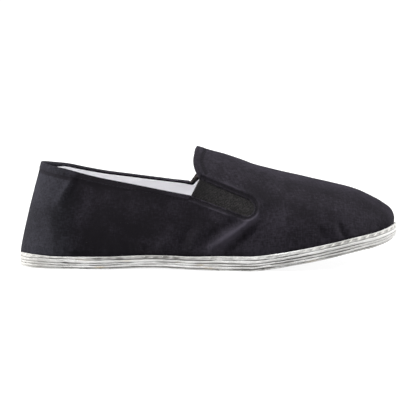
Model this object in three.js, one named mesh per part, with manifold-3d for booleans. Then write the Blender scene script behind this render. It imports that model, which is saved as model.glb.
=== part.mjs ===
// Chinese cloth slip-on shoe for the right foot: a black cloth upper with two elastic side gores
// on a sole of stacked cotton layers, each piece a closed solid.
// Units are millimetres. +X runs from heel to toe, +Y to the wearer's inner side, +Z up.
// The origin is on the floor, under the middle of the shoe's bounding box.

import * as THREE from "three";
import { mergeVertices } from "three/addons/utils/BufferGeometryUtils.js";
import Module from "manifold-3d";

const wasm = await Module();
wasm.setup();

// Sole
const soleLength = 275;
const ballWidth = 97;
const flatLength = 168; // the toe spring starts here, measured from the back of the sole
const toeSpring = 19.2;
const springCurve = 1.22; // power of the toe spring's rise
const archStart = 52; // the sole lifts a little off the floor from here
const archLength = 90;
const archRise = 0.9;
const outsoleThickness = 1;
const lowerLayerThickness = 1.7; // the two thin layers above the outsole
const upperLayerThickness = 2.2; // the thick layer and the stitched rim layer on top
const foreThickening = 0.05; // every layer grows by this share from the arch to the ball
const edgeChamfer = 0.5; // each layer's rounded edge
const seatGap = 0.3; // between pieces that rest on or beside each other

// Upper
const featherMargin = 1.2; // the sole's rim stands this far outside the upper
const wall = 1.8; // cloth, interlining and lining together
const lastHeight = 78; // from the sole's top to the last's crest over the heel
const heelLean = 19; // the heel's back line leans this far forward up to the crest
const heelFullness = 1.15; // the heel's back line bulges more as this grows past 1
const collarHeelHeight = 75.6; // the collar's peak at the back of the heel, above the floor
const tongueX = 130.4; // the tongue's top edge at the crest, from the back of the sole
const tongueBow = 4.2; // the tongue's rear edge bows back by this much

// Elastic gores
const goreLength = 45; // from its mouth at the collar to its round front end
const goreWidth = 13; // at its mouth
const goreFrontWidth = 11.4;
const goreSlope = 20.8; // degrees, it runs down towards the toe
const goreThickness = 1.1;
const goreRecess = 0.4; // the gore lies this far behind the upper's face

// Insole
const insoleThickness = 2.2;
const insoleClearance = 0.8; // to the upper's leaning wall

const halvesOverlap = 0.2; // the cuts from the two sides share this much at the middle plane

// How finely the curved faces are divided
const upperAround = 108;
const upperRise = 11;
const soleAround = 72;
const goreColumns = 14;
const goreRows = 9;
const curvePoints = 6;

// The collar's two sides. Its corner at the gore's mouth is throatX from the back of the sole and
// throatHeight above the floor, it dips under a straight line by sag, and the mouth leans forward
// at mouthSlope degrees.
const collarSides = {
  outer: { towards: -1, throatX: 124.6, throatHeight: 53.6, sag: 0.9, mouthSlope: 58 },
  inner: { towards: 1, throatX: 123.1, throatHeight: 59.6, sag: 1.2, mouthSlope: 46 },
};

// The last, a row for each section, at equal steps of the sweep angle from heel to toe.
// outer and inner are half widths of the sole and spine is the crest's offset, all as shares of
// ballWidth. rise is the crest's height as a share of lastHeight. wallPower is 1 for a straight
// leaning wall and grows as the wall gets fuller.
const lastSections = [
  { outer: 0.0, inner: 0.0, spine: 0.0, rise: 1.0, wallPower: 4.0 },
  { outer: 0.238, inner: 0.234, spine: 0.0, rise: 1.0, wallPower: 3.6 },
  { outer: 0.338, inner: 0.33, spine: 0.0, rise: 1.01, wallPower: 2.7 },
  { outer: 0.366, inner: 0.335, spine: 0.005, rise: 1.08, wallPower: 2.4 },
  { outer: 0.433, inner: 0.37, spine: 0.012, rise: 0.953, wallPower: 2.4 },
  { outer: 0.5, inner: 0.479, spine: 0.022, rise: 0.704, wallPower: 2.15 },
  { outer: 0.395, inner: 0.43, spine: 0.035, rise: 0.476, wallPower: 2.1 },
  { outer: 0.186, inner: 0.262, spine: 0.041, rise: 0.247, wallPower: 2.05 },
  { outer: -0.041, inner: 0.041, spine: 0.041, rise: 0.0, wallPower: 2.0 },
];

// The stacked layers from the floor up. inset is how far each edge lies inside the sole's outline.
const soleLayers = [
  { name: "outsole", thickness: outsoleThickness, inset: 0.5, colour: 0xd3cfc6 },
  { name: "sole_layer_lower", thickness: lowerLayerThickness, inset: 0.15, colour: 0xdfddd8 },
  { name: "sole_layer_middle", thickness: lowerLayerThickness, inset: 0.3, colour: 0xdfddd8 },
  { name: "sole_layer_upper", thickness: upperLayerThickness, inset: 0.1, colour: 0xe3e1dc },
  { name: "sole_rim", thickness: upperLayerThickness, inset: 0.0, colour: 0xd6d5d0 },
];
const stackThickness =
  soleLayers.reduce((sum, layer) => sum + layer.thickness, 0) +
  seatGap * (soleLayers.length - 1);

const sweepStep = Math.PI / (lastSections.length - 1);

// A smooth curve through values at equal steps, with the value that lies past each end.
function smoothValue(values, position, before, after) {
  const index = Math.min(Math.floor(position), values.length - 2);
  const share = position - index;
  const p0 = index > 0 ? values[index - 1] : before;
  const p1 = values[index];
  const p2 = values[index + 1];
  const p3 = index + 2 < values.length ? values[index + 2] : after;
  const slopeIn = (p2 - p0) / 2;
  const slopeOut = (p3 - p1) / 2;
  const bend = 2 * (p1 - p2) + slopeIn + slopeOut;
  return p1 + share * (slopeIn + share * (3 * (p2 - p1) - 2 * slopeIn - slopeOut + share * bend));
}

// The sweep angle goes once round the sole: heel 0, toe pi, the outer side first.
const foldedSweep = (sweep) => (sweep > Math.PI ? 2 * Math.PI - sweep : sweep);

function sectionValue(column, sweep, toeSign) {
  const values = lastSections.map((row) => row[column]);
  const position = foldedSweep(sweep) / sweepStep;
  const last = values.length - 1;
  return smoothValue(values, position, values[1], toeSign * values[last - 1]);
}

// Signed offset of the sole's edge from the middle line, smooth round the whole outline.
const outlineShares = [
  ...lastSections.map((row) => -row.outer),
  ...lastSections.slice(1, -1).reverse().map((row) => row.inner),
  -lastSections[0].outer,
];

function outlinePoint(sweep) {
  const position = sweep / sweepStep;
  const past = outlineShares[outlineShares.length - 2];
  const y = ballWidth * smoothValue(outlineShares, position, past, outlineShares[1]);
  return new THREE.Vector2((soleLength * (1 - Math.cos(sweep))) / 2, y);
}

// The sole's outline moved inwards by inset.
function planPoint(sweep, inset) {
  const nudge = 1e-3;
  const full = 2 * Math.PI;
  const ahead = outlinePoint((sweep + nudge) % full);
  const behind = outlinePoint((sweep - nudge + full) % full);
  const tangent = ahead.sub(behind).normalize();
  return outlinePoint(sweep).add(new THREE.Vector2(-tangent.y, tangent.x).multiplyScalar(inset));
}

// How far the sole's underside lies above the floor.
function liftHeight(x) {
  const springShare = Math.max(0, (x - flatLength) / (soleLength - flatLength));
  const archShare = THREE.MathUtils.clamp((x - archStart) / archLength, 0, 1);
  return toeSpring * springShare ** springCurve + archRise * Math.sin(Math.PI * archShare) ** 2;
}

// Height of a level of the sole's stack, given as it is at the heel.
function stackHeight(x, level) {
  const fore = THREE.MathUtils.smoothstep(x, archStart, flatLength);
  return liftHeight(x) + level * (1 + foreThickening * fore);
}

const featherHeight = (x) => stackHeight(x, stackThickness + seatGap);

// How much of the heel's lean reaches the section at this sweep angle.
const leanAt = (sweep) => heelLean * Math.max(0, Math.cos(sweep)) ** 2;

// Point of the last's crest, at the folded sweep angle, before any inset.
function crestPoint(sweep, margin) {
  const along = (1 - Math.cos(sweep)) / 2;
  const x = margin + (soleLength - 2 * margin) * along + leanAt(sweep);
  const z = featherHeight(x) + lastHeight * sectionValue("rise", sweep, -2.2);
  return new THREE.Vector2(x, z);
}

// Point on the last, moved inwards by inset. height runs from 0 at the sole to 1 at the crest.
function lastPoint(sweep, height, inset) {
  const margin = featherMargin + inset;
  const folded = foldedSweep(sweep);
  const nudge = 1e-3;
  const behind = crestPoint(Math.max(0, folded - nudge), featherMargin);
  const ahead = crestPoint(Math.min(Math.PI, folded + nudge), featherMargin);
  const level = Math.abs(ahead.x - behind.x) / (ahead.distanceTo(behind) || 1);
  const crest = crestPoint(folded, margin);
  const base = planPoint(sweep, margin);
  const spineY = ballWidth * sectionValue("spine", sweep, 1);
  const turn = (height * Math.PI) / 2;
  const outwards = Math.max(0, Math.cos(turn));
  const upwards = Math.sin(turn) ** (2 / sectionValue("wallPower", sweep, 1));
  const baseZ = featherHeight(base.x);
  const lean = leanAt(folded);
  const leanShare = upwards ** heelFullness;
  return new THREE.Vector3(
    crest.x - lean + (base.x - crest.x + lean) * outwards + lean * leanShare,
    spineY + (base.y - spineY) * outwards,
    baseZ + (crest.y - inset * level - baseZ) * upwards,
  );
}

// A solid from a list of triangles, three points each, with shared points merged.
function solidFromTriangles(triangles) {
  const positions = triangles.flat().flatMap((point) => [point.x, point.y, point.z]);
  const loose = new THREE.BufferGeometry();
  loose.setAttribute("position", new THREE.Float32BufferAttribute(positions, 3));
  return solidFromGeometry(loose);
}

function solidFromGeometry(geometry) {
  const plain = geometry.clone();
  plain.deleteAttribute("normal");
  plain.deleteAttribute("uv");
  const merged = mergeVertices(plain, 1e-4);
  const index = merged.index.array;
  const corners = [];
  for (let i = 0; i < index.length; i += 3) {
    const [a, b, c] = index.slice(i, i + 3);
    if (a !== b && b !== c && a !== c) corners.push(a, b, c);
  }
  return new wasm.Manifold(
    new wasm.Mesh({
      numProp: 3,
      vertProperties: merged.attributes.position.array,
      triVerts: new Uint32Array(corners),
    }),
  );
}

function meshFromSolid(name, solid, material) {
  const { vertProperties, triVerts, numProp } = solid.getMesh();
  const positions = new Float32Array((vertProperties.length / numProp) * 3);
  for (let i = 0; i < positions.length / 3; i++)
    positions.set(vertProperties.subarray(i * numProp, i * numProp + 3), i * 3);
  const geometry = new THREE.BufferGeometry();
  geometry.setAttribute("position", new THREE.BufferAttribute(positions, 3));
  geometry.setIndex(new THREE.BufferAttribute(new Uint32Array(triVerts), 1));
  geometry.computeVertexNormals();
  const mesh = new THREE.Mesh(geometry, material);
  mesh.name = name;
  return mesh;
}

const quad = (a, b, c, d) => [
  [a, b, c],
  [a, c, d],
];

// Faces between two neighbouring rows of points, each row an array of the same length.
function band(lower, upper) {
  const faces = [];
  for (let i = 0; i + 1 < lower.length; i++)
    faces.push(...quad(lower[i], lower[i + 1], upper[i + 1], upper[i]));
  return faces;
}

const reversed = (faces) => faces.map(([a, b, c]) => [a, c, b]);

const sweepAngles = (steps) =>
  Array.from({ length: steps + 1 }, (_, i) => (i < steps ? (2 * Math.PI * i) / steps : 0));

// A shell between two insets of the last, open underneath and closed over its crest.
function lastShell(outerInset, innerInset) {
  const angles = sweepAngles(upperAround);
  const row = (level, inset) => angles.map((angle) => lastPoint(angle, level / upperRise, inset));
  const faces = reversed(band(row(0, outerInset), row(0, innerInset)));
  for (let level = 0; level < upperRise; level++) {
    faces.push(...band(row(level, outerInset), row(level + 1, outerInset)));
    faces.push(...reversed(band(row(level, innerInset), row(level + 1, innerInset))));
  }
  return solidFromTriangles(faces);
}

// A piece of such a shell between two sweep angles and two heights.
function shellPatch(sweeps, heights, outerInset, innerInset) {
  const spread = ([from, to], steps) =>
    Array.from({ length: steps + 1 }, (_, i) => from + ((to - from) * i) / steps);
  const columns = spread(sweeps, goreColumns);
  const levels = spread(heights, goreRows);
  const grid = (inset) =>
    levels.map((height) => columns.map((angle) => lastPoint(angle, height, inset)));
  const outer = grid(outerInset);
  const inner = grid(innerInset);
  const side = (rows, column) => rows.map((row) => row[column]);
  const faces = [];
  for (let level = 0; level < goreRows; level++) {
    faces.push(...band(outer[level], outer[level + 1]));
    faces.push(...reversed(band(inner[level], inner[level + 1])));
  }
  faces.push(...reversed(band(outer[0], inner[0])));
  faces.push(...band(outer[goreRows], inner[goreRows]));
  faces.push(...band(side(outer, 0), side(inner, 0)));
  faces.push(...reversed(band(side(outer, goreColumns), side(inner, goreColumns))));
  return solidFromTriangles(faces);
}

// A side-view outline, x and z, pushed through the shoe from its middle plane to one side,
// towards -1 or 1.
function sidePrism(shape, towards) {
  const depth = ballWidth + halvesOverlap;
  const geometry = new THREE.ExtrudeGeometry(shape, {
    depth,
    bevelEnabled: false,
    curveSegments: curvePoints,
  });
  geometry.rotateX(Math.PI / 2);
  geometry.translate(0, towards > 0 ? depth - halvesOverlap : halvesOverlap, 0);
  return solidFromGeometry(geometry);
}

const direction = (degrees) => {
  const angle = THREE.MathUtils.degToRad(degrees);
  return new THREE.Vector2(Math.cos(angle), Math.sin(angle));
};
const goreAxis = direction(-goreSlope);
const goreAcross = direction(90 - goreSlope);

// The two corners of a gore's mouth.
function mouthCorners(side) {
  const edge = direction(side.mouthSlope);
  const lower = new THREE.Vector2(side.throatX, side.throatHeight);
  const upper = lower.clone().addScaledVector(edge, goreWidth / edge.dot(goreAcross));
  return { lower, upper };
}

// The slot's edge from the mouth's lower corner round its front end to the upper corner.
function slotPath(shape, side, clearance) {
  const { lower, upper } = mouthCorners(side);
  const radius = goreFrontWidth / 2;
  const middle = lower.clone().add(upper).multiplyScalar(0.5);
  const end = middle.clone().addScaledVector(goreAxis, goreLength - radius);
  const start = THREE.MathUtils.degToRad(-90 - goreSlope);
  lower.addScaledVector(goreAxis, clearance).addScaledVector(goreAcross, clearance);
  upper.addScaledVector(goreAxis, clearance).addScaledVector(goreAcross, -clearance);
  shape.lineTo(lower.x, lower.y);
  shape.absarc(end.x, end.y, radius - clearance, start, start + Math.PI, false);
  shape.lineTo(upper.x, upper.y);
}

// Everything that the foot opening and the slot take away from one side of the upper.
function openingShape(side) {
  const beyond = 20; // the cut runs this far past the heel
  const top = 2 * lastHeight;
  const backShare = (collarHeelHeight - featherHeight(0)) / lastHeight;
  const backX = featherMargin + heelLean * backShare ** heelFullness;
  const crestZ = featherHeight(tongueX) + lastHeight;
  const { lower, upper } = mouthCorners(side);
  const shape = new THREE.Shape();
  shape.moveTo(-beyond, top);
  shape.lineTo(-beyond, collarHeelHeight);
  shape.lineTo(backX, collarHeelHeight);
  const dipX = (backX + lower.x) / 2;
  const dipZ = (collarHeelHeight + lower.y) / 2 - 2 * side.sag;
  shape.quadraticCurveTo(dipX, dipZ, lower.x, lower.y);
  slotPath(shape, side, 0);
  const bowX = (upper.x + tongueX) / 2 - 2 * tongueBow;
  const bowZ = (upper.y + crestZ) / 2;
  shape.quadraticCurveTo(bowX, bowZ, tongueX, crestZ);
  shape.lineTo(tongueX + tongueBow, top);
  return shape;
}

function goreShape(side) {
  const shape = new THREE.Shape();
  const { upper } = mouthCorners(side);
  upper.addScaledVector(goreAxis, seatGap).addScaledVector(goreAcross, -seatGap);
  shape.moveTo(upper.x, upper.y);
  slotPath(shape, side, seatGap);
  return shape;
}

// The sweep angle at which the sole reaches x.
const sweepAt = (x) => Math.acos(1 - (2 * x) / soleLength);

function goreSolid(side) {
  const reach = goreWidth;
  const from = sweepAt(side.throatX - reach);
  const to = sweepAt(side.throatX + goreLength + reach);
  const sweeps = side.towards > 0 ? [2 * Math.PI - to, 2 * Math.PI - from] : [from, to];
  const patch = shellPatch(sweeps, [0.12, 0.85], goreRecess, goreRecess + goreThickness);
  return patch.intersect(sidePrism(goreShape(side), side.towards));
}

// A flat layer of the sole's outline that follows the toe spring, with chamfered edges.
function layerSolid(bottom, thickness, inset, chamfer) {
  const angles = sweepAngles(soleAround);
  const ring = (height, edge) =>
    angles.map((angle) => {
      const plan = planPoint(angle, edge);
      return new THREE.Vector3(plan.x, plan.y, stackHeight(plan.x, height));
    });
  const rings = [
    ring(bottom, inset + chamfer),
    ring(bottom + chamfer, inset),
    ring(bottom + thickness - chamfer, inset),
    ring(bottom + thickness, inset + chamfer),
  ];
  const faces = [];
  for (let i = 0; i + 1 < rings.length; i++) faces.push(...band(rings[i], rings[i + 1]));
  const half = soleAround / 2;
  const cap = (points) => {
    const outerSide = points.slice(0, half + 1);
    const innerSide = points.slice(half, soleAround + 1).reverse();
    return band(outerSide, innerSide);
  };
  faces.push(...cap(rings[rings.length - 1]));
  faces.push(...reversed(cap(rings[0])));
  return solidFromTriangles(faces);
}

function cloth(colour, roughness) {
  return new THREE.MeshStandardMaterial({ color: colour, roughness, metalness: 0 });
}

const blackCloth = cloth(0x242227, 0.85);
const blackElastic = cloth(0x23221f, 0.95);
const whiteLining = cloth(0xe6e5ea, 0.9);

function buildSole(shoe) {
  let bottom = 0;
  for (const layer of soleLayers) {
    const chamfer = Math.min(edgeChamfer, layer.thickness / 3);
    const solid = layerSolid(bottom, layer.thickness, layer.inset, chamfer);
    shoe.add(meshFromSolid(layer.name, solid, cloth(layer.colour, 0.9)));
    bottom += layer.thickness + seatGap;
  }
  const inset = featherMargin + wall + insoleClearance;
  const insole = layerSolid(bottom, insoleThickness, inset, edgeChamfer);
  shoe.add(meshFromSolid("insole", insole, whiteLining));
}

function buildUpper(shoe) {
  let upper = lastShell(0, wall);
  for (const side of Object.values(collarSides))
    upper = upper.subtract(sidePrism(openingShape(side), side.towards));
  shoe.add(meshFromSolid("upper", upper, blackCloth));
  for (const [name, side] of Object.entries(collarSides))
    shoe.add(meshFromSolid(`gore_${name}`, goreSolid(side), blackElastic));
}

const shoe = new THREE.Group();
buildSole(shoe);
buildUpper(shoe);

// The origin goes under the middle of the shoe.
const extent = new THREE.Box3().setFromObject(shoe);
const middle = extent.getCenter(new THREE.Vector3());
shoe.position.set(-middle.x, -middle.y, -extent.min.z);

export default shoe;
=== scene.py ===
import bpy
import bmesh
import math
import random
import numpy as np
from mathutils import Matrix, Vector, noise
from mathutils.bvhtree import BVHTree


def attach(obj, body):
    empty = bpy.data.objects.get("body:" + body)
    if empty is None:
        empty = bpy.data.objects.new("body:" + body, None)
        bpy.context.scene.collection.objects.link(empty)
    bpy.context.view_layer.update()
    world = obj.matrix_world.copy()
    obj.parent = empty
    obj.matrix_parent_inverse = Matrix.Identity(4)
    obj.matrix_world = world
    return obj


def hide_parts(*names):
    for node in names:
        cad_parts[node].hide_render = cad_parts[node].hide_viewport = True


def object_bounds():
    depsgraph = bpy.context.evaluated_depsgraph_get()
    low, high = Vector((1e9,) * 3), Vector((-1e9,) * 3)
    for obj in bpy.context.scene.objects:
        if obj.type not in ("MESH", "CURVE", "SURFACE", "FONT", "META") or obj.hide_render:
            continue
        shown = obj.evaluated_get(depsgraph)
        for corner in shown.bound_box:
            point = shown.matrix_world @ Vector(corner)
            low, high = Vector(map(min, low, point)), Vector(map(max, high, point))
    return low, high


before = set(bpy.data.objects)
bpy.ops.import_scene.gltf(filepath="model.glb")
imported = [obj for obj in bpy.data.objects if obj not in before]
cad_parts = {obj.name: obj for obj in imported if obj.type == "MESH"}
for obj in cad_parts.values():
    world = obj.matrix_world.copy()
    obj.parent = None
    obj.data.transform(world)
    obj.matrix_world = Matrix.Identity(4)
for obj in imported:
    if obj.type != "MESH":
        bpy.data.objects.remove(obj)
cadLow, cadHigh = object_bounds()
print("frame loaded")

# The shape of the shoe, in millimetres: x forward from the back of the heel, y inwards, z up
last = {
    "soleLength": 275.0, "ballWidth": 97.0,
    "flatLength": 168.0, "toeSpring": 19.2, "springCurve": 1.22,
    "archStart": 52.0, "archLength": 90.0, "archRise": 0.9,
    "foreThickening": 0.05, "seatHeight": 10.3,
    "featherMargin": 1.2, "height": 78.0,
    "heelLean": 19.0, "heelFullness": 1.15,
}
# nine sections from the heel to the toe
sections = {
    "outer": [0.0, 0.238, 0.338, 0.366, 0.433, 0.5, 0.395, 0.186, -0.041],
    "inner": [0.0, 0.234, 0.33, 0.335, 0.37, 0.479, 0.43, 0.262, 0.041],
    "spine": [0.0, 0.0, 0.0, 0.005, 0.012, 0.022, 0.035, 0.041, 0.041],
    "rise": [1.0, 1.0, 1.01, 1.08, 0.953, 0.704, 0.476, 0.247, 0.0],
    "wallPower": [4.0, 3.6, 2.7, 2.4, 2.4, 2.15, 2.1, 2.05, 2.0],
}
fullTurn = 2 * math.pi
# how wear and hand work move the sole from its plain shape, in millimetres and shares
worn = {"heelFull": 0.7, "press": 0.11, "archLift": 0.5, "tipLift": 0.7, "tipDip": 0.6}


def smoothValue(values, position, before, after):
    padded = np.array([before, *values, after])
    index = np.clip(np.floor(position).astype(int), 0, len(values) - 2)
    share = position - index
    p0, p1, p2, p3 = (padded[index + k] for k in range(4))
    slopeIn = (p2 - p0) / 2
    slopeOut = (p3 - p1) / 2
    bend = 2 * (p1 - p2) + slopeIn + slopeOut
    return p1 + share * (slopeIn + share * (3 * (p2 - p1) - 2 * slopeIn - slopeOut + share * bend))


def smoothStep(value, low, high):
    share = np.clip((value - low) / (high - low), 0, 1)
    return share * share * (3 - 2 * share)


def bell(away, width, power=2):
    return np.exp(-(np.abs(away) / width) ** power)


def folded(sweep):  # the inner side runs back over the same sections
    return np.where(sweep > math.pi, fullTurn - sweep, sweep)


def sectionValue(column, sweep, toeSign):
    values = sections[column]
    return smoothValue(values, folded(sweep) / (math.pi / 8), values[1], toeSign * values[-2])


def outlinePoint(sweep):
    sweep = np.mod(sweep, fullTurn)
    shares = [-v for v in sections["outer"]] + sections["inner"][7:0:-1] + [-sections["outer"][0]]
    x = last["soleLength"] * (1 - np.cos(sweep)) / 2
    return x, last["ballWidth"] * smoothValue(shares, sweep / (math.pi / 8), shares[-2], shares[1])


def planPoint(sweep, inset):
    x, y = outlinePoint(sweep)
    xa, ya = outlinePoint(sweep - 1e-3)
    xb, yb = outlinePoint(sweep + 1e-3)
    length = np.hypot(xb - xa, yb - ya)
    return x - inset * (yb - ya) / length, y + inset * (xb - xa) / length


def liftHeight(x):
    spring = np.maximum(0, (x - last["flatLength"]) / (last["soleLength"] - last["flatLength"]))
    arch = np.clip((x - last["archStart"]) / last["archLength"], 0, 1)
    return last["toeSpring"] * spring ** last["springCurve"] + last["archRise"] * np.sin(math.pi * arch) ** 2


def stackHeight(x, level):  # pressed a little thinner under the heel and waist
    pressed = 1 - worn["press"] * smoothStep(x, 5, 30) * (1 - smoothStep(x, 118, 150))
    raised = worn["archLift"] * np.sin(math.pi * np.clip((x - 62) / 84, 0, 1)) ** 2
    tip = worn["tipLift"] * smoothStep(x, 266, 275) - worn["tipDip"] * bell(x - 259, 9)
    fore = 1 + last["foreThickening"] * smoothStep(x, last["archStart"], last["flatLength"])
    return liftHeight(x) + raised + tip + level * fore * pressed


def leanAt(sweep):
    return last["heelLean"] * np.maximum(0, np.cos(sweep)) ** 2


def crestPoint(sweep, margin):
    along = (1 - np.cos(sweep)) / 2
    x = margin + (last["soleLength"] - 2 * margin) * along + leanAt(sweep)
    return x, stackHeight(x, last["seatHeight"]) + last["height"] * sectionValue("rise", sweep, -2.2)


def lastPoint(sweep, height, inset):
    margin = last["featherMargin"] + inset
    around = folded(sweep)
    crestX, crestZ = crestPoint(around, margin)
    xa, za = crestPoint(np.maximum(around - 1e-3, 0), margin)
    xb, zb = crestPoint(np.minimum(around + 1e-3, math.pi), margin)
    level = np.abs(xb - xa) / np.hypot(xb - xa, zb - za)
    crestZ = crestZ - inset * level
    baseX, baseY = planPoint(sweep, margin)
    spineY = last["ballWidth"] * sectionValue("spine", sweep, 1)
    turn = height * math.pi / 2
    outwards = np.maximum(0, np.cos(turn))
    upwards = np.sin(turn) ** (2 / sectionValue("wallPower", sweep, 1))
    baseZ = stackHeight(baseX, last["seatHeight"])
    lean = leanAt(around)
    x = crestX - lean + (baseX - crestX + lean) * outwards + lean * upwards ** last["heelFullness"]
    y = spineY + (baseY - spineY) * outwards
    x = x - worn["heelFull"] * (1 - smoothStep(baseX, 0, 16))  # the heel stands back a little
    return np.stack([x, y, baseZ + (crestZ - baseZ) * upwards], -1)


# rows are spaced evenly up each section, so a row is a share of the way from the sole to the crest
tableSweeps = np.linspace(0, fullTurn, 721)
tableShares = np.linspace(0, 1, 97)


def heightTable():
    fine = np.linspace(0, 1, 500) ** 2
    sweeps, heights = np.meshgrid(tableSweeps, fine, indexing="ij")
    points = lastPoint(sweeps, heights, 0.0)
    steps = np.linalg.norm(np.diff(points, axis=1), axis=2)
    travel = np.concatenate([np.zeros((len(sweeps), 1)), np.cumsum(steps, axis=1)], axis=1)
    travel += fine * 1e-6  # the toe's own section has no length
    return np.array([np.interp(tableShares * row[-1], row, fine) for row in travel])


rowHeights = heightTable()


def surfacePoint(sweep, share, inset):
    column = np.clip(sweep / fullTurn * 720, 0, 720)
    row = np.clip(share * 96, 0, 96)
    i = np.minimum(column.astype(int), 719)
    j = np.minimum(row.astype(int), 95)
    u = column - i
    v = row - j
    height = (rowHeights[i, j] * (1 - u) + rowHeights[i + 1, j] * u) * (1 - v) \
        + (rowHeights[i, j + 1] * (1 - u) + rowHeights[i + 1, j + 1] * u) * v
    return lastPoint(sweep, height, inset)


def surfaceNormal(sweep, share):
    step = 2e-3
    low = np.clip(share - step, 0, 1)
    high = np.clip(share + step, 0, 1)
    steady = np.clip(sweep, 0.012, fullTurn - 0.012)
    steady = np.where(np.abs(steady - math.pi) < 0.02, math.pi + np.where(steady < math.pi, -0.02, 0.02), steady)
    along = surfacePoint(steady + step, share, 0.0) - surfacePoint(steady - step, share, 0.0)
    up = surfacePoint(steady, high, 0.0) - surfacePoint(steady, low, 0.0)
    normal = np.cross(along, up)
    return normal / np.maximum(np.linalg.norm(normal, axis=-1, keepdims=True), 1e-9)


outlineXs, outlineYs = outlinePoint(tableSweeps)
middleX = (cadLow.x + cadHigh.x) / 2 * 1000 - last["soleLength"] / 2
middle = Vector((middleX, -(outlineYs.min() + outlineYs.max()) / 2, 0))


def toFrame(points):  # the shoe's own millimetres to the frame's metres
    return (points + np.array(middle)) / 1000


# The opening seen from the side: collar, elastic slot and the end of the tongue
opening = {
    "outer": {"throatX": 124.6, "throatHeight": 53.6, "sag": 0.9, "mouthSlope": 58},
    "inner": {"throatX": 123.1, "throatHeight": 59.6, "sag": 1.2, "mouthSlope": 46},
    "collarHeelHeight": 75.6, "tongueX": 130.4, "tongueBow": 4.2,
    "slotLength": 45.0, "slotWidth": 13.0, "slotFrontWidth": 11.4, "slotSlope": 20.8,
    "elasticMargin": 5.0,
}


def direction(degrees):
    return np.array([math.cos(math.radians(degrees)), math.sin(math.radians(degrees))])


def quadratic(start, control, end, steps):
    t = np.linspace(0, 1, steps + 1)[:, None]
    return (1 - t) ** 2 * start + 2 * t * (1 - t) * control + t ** 2 * end


def mouthCorners(side, shift=0.0):
    values = opening[side]
    axis = direction(-opening["slotSlope"])
    across = direction(90 - opening["slotSlope"])
    edge = direction(values["mouthSlope"])
    lower = np.array([values["throatX"], values["throatHeight"]]) + shift * axis
    return lower, lower + edge * opening["slotWidth"] / edge.dot(across), axis, across


def collarPath(side):
    share = (opening["collarHeelHeight"] - last["seatHeight"]) / last["height"]
    backX = last["featherMargin"] + last["heelLean"] * share ** last["heelFullness"]
    back = np.array([backX, opening["collarHeelHeight"]])
    lower = mouthCorners(side)[0]
    control = (back + lower) / 2 - np.array([0, 2 * opening[side]["sag"]])
    return np.vstack([[-30, opening["collarHeelHeight"]], quadratic(back, control, lower, 30)])


def slotPath(side, grow=0.0):  # grow widens the slot's outline
    lower, upper, axis, across = mouthCorners(side)
    centre = (lower + upper) / 2 + axis * (opening["slotLength"] - opening["slotFrontWidth"] / 2)
    radius = opening["slotFrontWidth"] / 2 + grow
    angles = -90 - opening["slotSlope"] + np.linspace(0, 180, 25)
    arc = np.array([centre + radius * direction(a) for a in angles])
    return np.vstack([lower - grow * across, arc, upper + grow * across])


def tonguePath(side):
    upper = mouthCorners(side)[1]
    crest = np.array([opening["tongueX"], 0.0])
    crest[1] = stackHeight(crest[0], last["seatHeight"]) + last["height"]
    control = (upper + crest) / 2 - np.array([2 * opening["tongueBow"], 0])
    return np.vstack([quadratic(upper, control, crest, 20), [crest[0] + opening["tongueBow"], 2 * last["height"]]])


def cutPath(side):
    return np.vstack([collarPath(side), slotPath(side), tonguePath(side)])


def bridgedPath(side, shift=0.0):  # the same edge, with the slot closed by its mouth
    lower, upper = mouthCorners(side, shift)[:2]
    return np.vstack([collarPath(side)[:-1], lower, upper, tonguePath(side)[1:]])


def outlineDistance(path, closed, x, z):  # distance to a path, below zero inside the closed one
    best = np.full(x.shape, 1e12)
    for (ax, az), (bx, bz) in zip(path[:-1], path[1:]):
        dx, dz = bx - ax, bz - az
        t = np.clip(((x - ax) * dx + (z - az) * dz) / max(dx * dx + dz * dz, 1e-12), 0, 1)
        best = np.minimum(best, (x - ax - t * dx) ** 2 + (z - az - t * dz) ** 2)
    inside = np.zeros(x.shape, bool)
    for (ax, az), (bx, bz) in zip(closed[:-1], closed[1:]):
        if az != bz:
            inside ^= ((az > z) != (bz > z)) & (x < ax + (z - az) * (bx - ax) / (bz - az))
    return np.sqrt(best) * np.where(inside, -1, 1)


def onSides(sweep, share, measure):  # measure(side, x, z) on the side that each place is on
    p = surfacePoint(sweep, share, 0.0)
    outer, inner = (measure(side, p[..., 0], p[..., 2]) for side in ("outer", "inner"))
    return np.where(sweep < math.pi, outer, inner)


def openingDistance(path, x, z):  # positive where the cloth is
    return outlineDistance(path, np.vstack([path, [-30, 2 * last["height"]], path[0]]), x, z)


def cutDistance(sweep, share):
    return onSides(sweep, share, lambda side, x, z: openingDistance(cutPath(side), x, z))


def bridgedDistance(sweep, share, shift=0.0):
    return onSides(sweep, share, lambda side, x, z: openingDistance(bridgedPath(side, shift), x, z))


def slotDistance(sweep, share):  # positive inside the elastic's piece
    def measure(side, x, z):
        outline = slotPath(side, opening["elasticMargin"])
        closed = np.vstack([outline, outline[0]])
        return -outlineDistance(closed, closed, x, z)
    return onSides(sweep, share, measure)


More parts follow.
